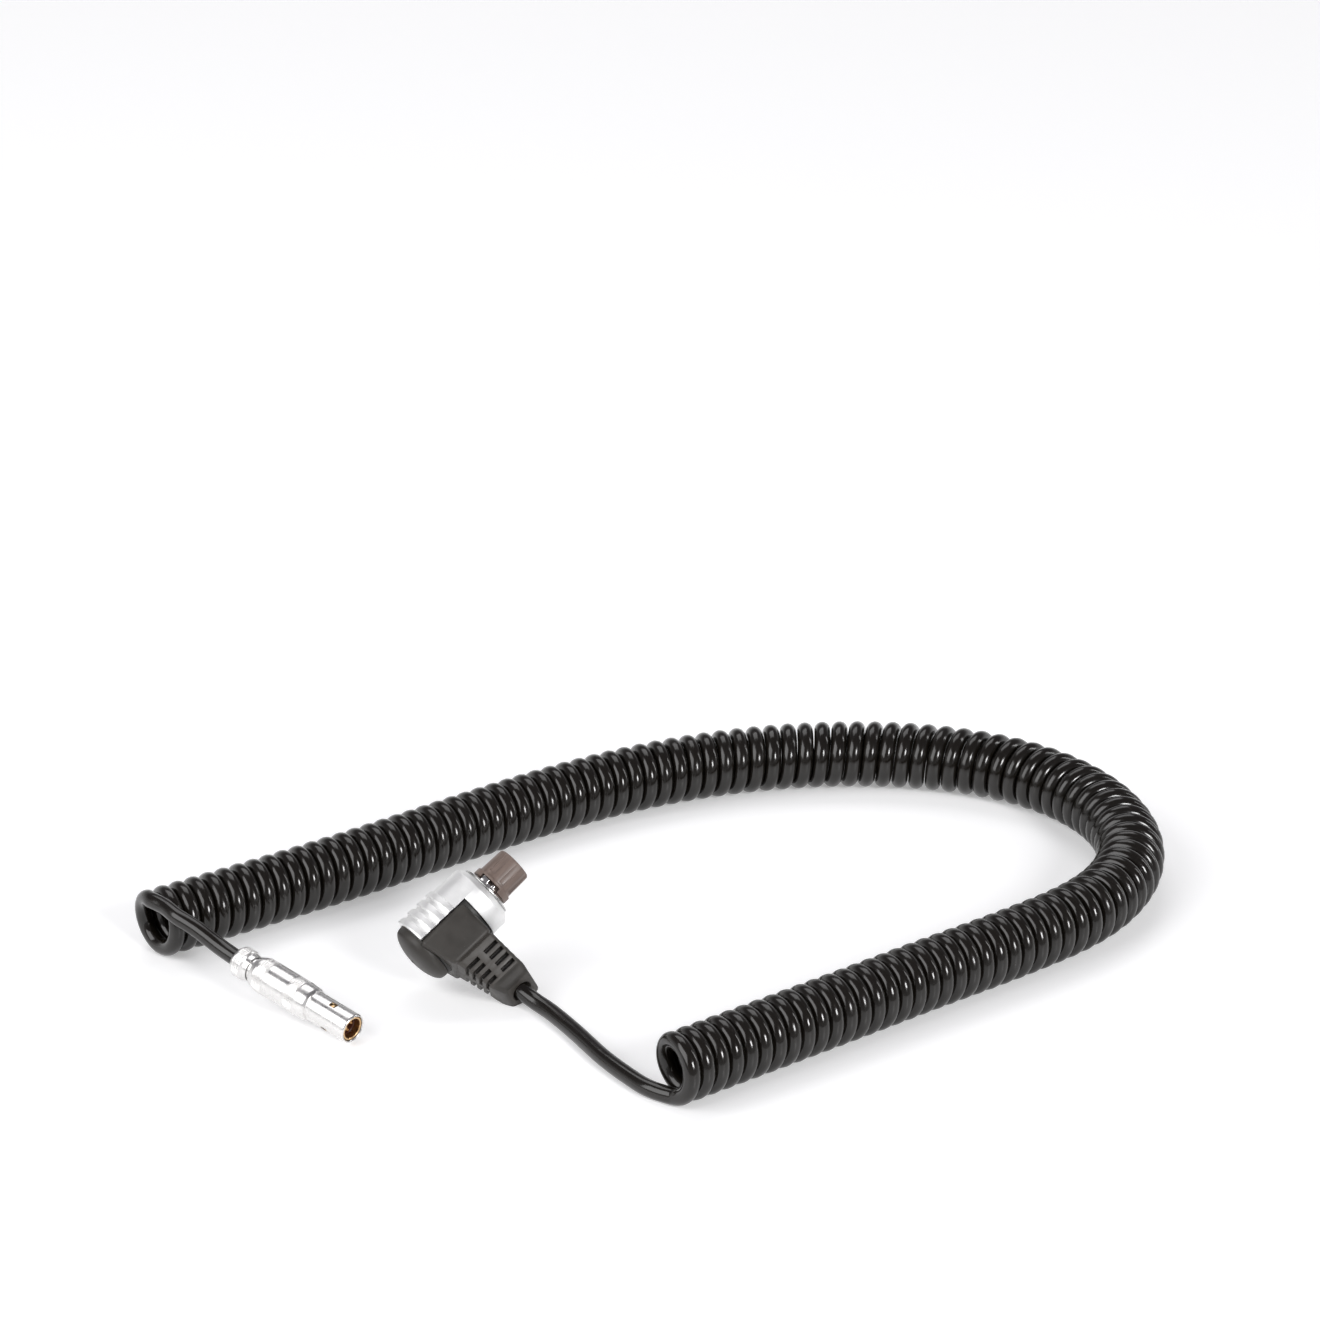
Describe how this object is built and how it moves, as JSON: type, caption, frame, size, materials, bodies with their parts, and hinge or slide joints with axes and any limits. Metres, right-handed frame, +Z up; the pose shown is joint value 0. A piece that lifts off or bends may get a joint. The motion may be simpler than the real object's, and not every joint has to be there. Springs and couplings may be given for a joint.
{
  "type": "coiled camera release cable",
  "caption": "Coiled electronic release cable: a right-angle camera plug with a sprung locking collar at one end and a small self-latching push-pull plug at the other.",
  "frame": {"origin": "on the surface the cable lies on, under the middle of the box that holds the two plugs", "axes": "+Z up from the surface, +X along the longer side of the box that holds the two plugs, towards the camera plug's tip"},
  "size_m": [0.1834, 0.1322, 0.0227],
  "materials": {
    "moulded_shell": "fine matte moulded PVC, warm black",
    "hidden_moulding": "plain inner moulding",
    "cord_jacket": "glossy polyurethane jacket, near black",
    "satin_aluminium": "turned, satin, with ribs",
    "bright_nickel": "bright nickel plate with diamond knurls",
    "spring_steel": "plain spring steel",
    "gold_brass": "gold-plated brass",
    "contact_insert": "taupe-brown moulded contact block",
    "insulator": "dark red-brown insulator",
    "wire_jacket": "thin wire insulation"
  },
  "bodies": {
    "cable": {"moulded_body": "moulded_shell", "rear_cap": "moulded_shell", "inner_premould": "hidden_moulding", "guide_sleeve": "bright_nickel", "collar_spring": "spring_steel", "retaining_ring": "spring_steel", "contact_insert": "contact_insert", "camera_cable_tail": "cord_jacket", "crimp_ferrule": "gold_brass", "contact_pin_1": "gold_brass", "camera_wire_1": "wire_jacket", "contact_pin_2": "gold_brass", "camera_wire_2": "wire_jacket", "contact_pin_3": "gold_brass", "camera_wire_3": "wire_jacket", "latch_sleeve": "gold_brass", "collet_nut": "bright_nickel", "collet": "bright_nickel", "carrier_half_1": "gold_brass", "carrier_half_2": "gold_brass", "plug_cable_tail": "cord_jacket", "contact_1": "gold_brass", "plug_wire_1": "wire_jacket", "contact_2": "gold_brass", "plug_wire_2": "wire_jacket", "contact_3": "gold_brass", "plug_wire_3": "wire_jacket", "contact_4": "gold_brass", "plug_wire_4": "wire_jacket", "insulator": "insulator", "curly_cord": "cord_jacket", "lead_camera_end": "cord_jacket", "lead_plug_end": "cord_jacket"},
    "locking_collar": {"locking_collar": "satin_aluminium"},
    "claw_near": {"claw_near": "bright_nickel"},
    "claw_far": {"claw_far": "bright_nickel"},
    "outer_shell": {"outer_shell": "bright_nickel"},
    "latch_arm_1": {"latch_arm_1": "bright_nickel"},
    "latch_arm_2": {"latch_arm_2": "bright_nickel"},
    "latch_arm_3": {"latch_arm_3": "bright_nickel"}
  },
  "joints": [
    {"name": "collar_slide", "type": "slide", "parent": "cable", "child": "locking_collar", "axis": [-0.7092, -0.4542, -0.5392], "range_m": [0, 0.0006], "stiffness_N_per_m": 500, "springref_m": -0.001, "deforming": ["collar_spring"]},
    {"name": "claw_near_swing", "type": "hinge", "parent": "cable", "child": "claw_near", "pos_m": [0.01597, 0.00665, 0.01664], "axis": [-0.705, 0.4583, 0.5413], "range_deg": [0, 3.6]},
    {"name": "claw_far_swing", "type": "hinge", "parent": "cable", "child": "claw_far", "pos_m": [0.01598, 0.01124, 0.01277], "axis": [0.705, -0.4583, -0.5413], "range_deg": [0, 3.6]},
    {"name": "shell_slide", "type": "slide", "parent": "cable", "child": "outer_shell", "axis": [-0.7484, 0.6493, 0.1351], "range_m": [0, 0.0006], "stiffness_N_per_m": 600, "springref_m": -0.001},
    {"name": "latch_arm_1_swing", "type": "hinge", "parent": "cable", "child": "latch_arm_1", "pos_m": [-0.0097, -0.00922, 0.00573], "axis": [0.6628, 0.7399, 0.1155], "range_deg": [0, 3.2]},
    {"name": "latch_arm_2_swing", "type": "hinge", "parent": "cable", "child": "latch_arm_2", "pos_m": [-0.01096, -0.00999, 0.0025], "axis": [-0.3098, -0.5223, 0.7945], "range_deg": [0, 3.2]},
    {"name": "latch_arm_3_swing", "type": "hinge", "parent": "cable", "child": "latch_arm_3", "pos_m": [-0.0086, -0.00737, 0.00291], "axis": [-0.353, -0.2176, -0.91], "range_deg": [0, 3.2]}
  ],
  "couplings": [
    {"joint": "claw_near_swing", "follows": "collar_slide", "rad_per_m": 101.8},
    {"joint": "claw_far_swing", "follows": "collar_slide", "rad_per_m": 101.8},
    {"joint": "latch_arm_1_swing", "follows": "shell_slide", "rad_per_m": 91.6},
    {"joint": "latch_arm_2_swing", "follows": "shell_slide", "rad_per_m": 91.6},
    {"joint": "latch_arm_3_swing", "follows": "shell_slide", "rad_per_m": 91.6}
  ]
}
